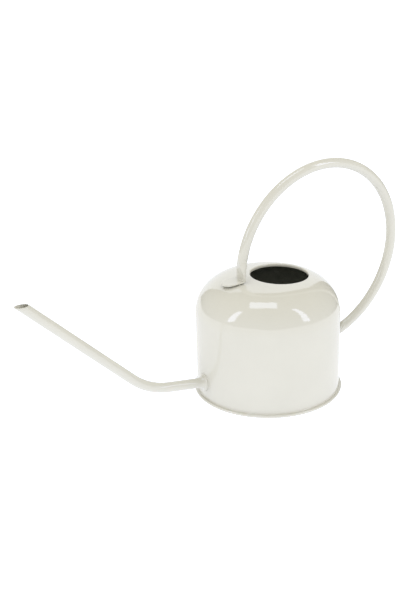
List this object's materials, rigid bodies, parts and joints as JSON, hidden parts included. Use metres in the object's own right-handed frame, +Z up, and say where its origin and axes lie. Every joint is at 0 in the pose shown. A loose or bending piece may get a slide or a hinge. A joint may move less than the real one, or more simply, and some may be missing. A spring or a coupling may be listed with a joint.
{
  "type": "watering can",
  "caption": "Small enamelled steel watering can with a domed top, an off-centre filling mouth, a long bent tube spout and a tube loop handle.",
  "frame": {"origin": "middle of the round base, on the ground", "axes": "+Z up; the spout points along -X and the handle is at +X; Y = 0 is the plane of symmetry"},
  "size_m": [0.3978, 0.1452, 0.2213],
  "materials": {
    "enamel": "glossy warm off-white enamel on steel",
    "sealant": "dark cured sealing compound",
    "braze": "dull brazing filler"
  },
  "bodies": {
    "root": {"body_shell": "enamel", "base_pan": "enamel", "seam_sealant": "sealant", "spout_tube": "enamel", "spout_collar": "enamel", "spout_braze": "braze", "handle_tube": "enamel", "front_foot_welds": "enamel", "rear_foot_welds": "enamel"}
  },
  "joints": []
}
